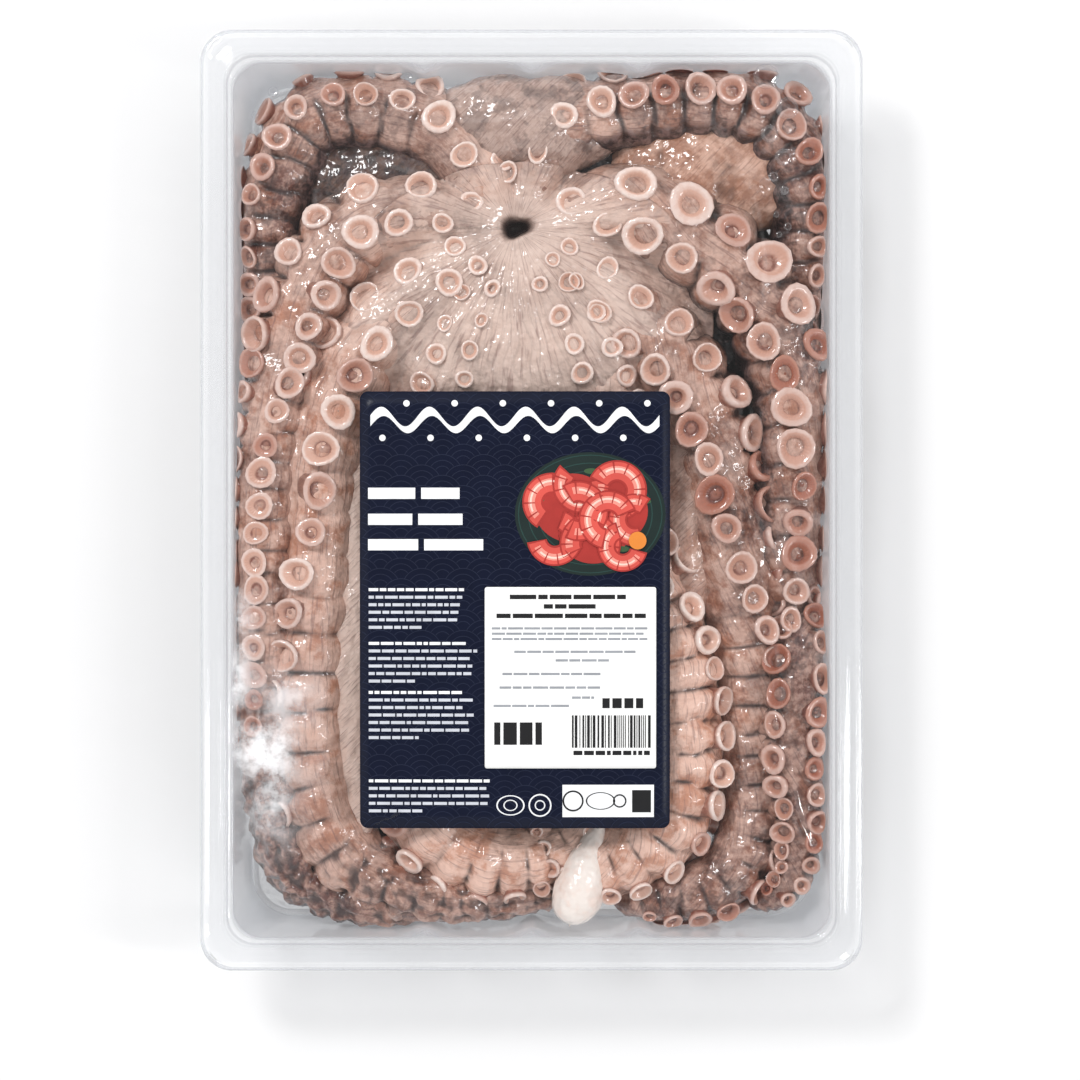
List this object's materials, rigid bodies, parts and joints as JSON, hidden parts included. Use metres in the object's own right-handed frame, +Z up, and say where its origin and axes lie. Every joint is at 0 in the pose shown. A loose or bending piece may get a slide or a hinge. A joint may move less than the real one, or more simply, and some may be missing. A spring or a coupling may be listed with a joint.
{
  "type": "whole octopus in a sealed tray",
  "caption": "Whole cleaned octopus lying mouth up, its suckered arms folded round, in a clear sealed tray with a printed card and a weight slip on the film.",
  "frame": {"origin": "middle of the tray's underside, where the pack rests", "axes": "+Z up out of the tray, +Y along the long side towards the octopus's mouth, +X across to the right"},
  "size_m": [0.226, 0.32, 0.0467],
  "materials": {
    "tray_plastic": "clear thermoformed plastic, smooth and glossy",
    "flesh": "wet raw flesh, cream to pink-brown skin with pale pink sucker discs",
    "clear_film": "thin clear film with small folds and air bubbles",
    "printed_card": "satin dark blue print with a faint pattern of overlapping arcs",
    "slip_paper": "matt white label paper with grey bars"
  },
  "bodies": {
    "root": {"tray": "tray_plastic", "octopus": "flesh", "film": "clear_film", "card": "printed_card", "weight_slip": "slip_paper"}
  },
  "joints": []
}
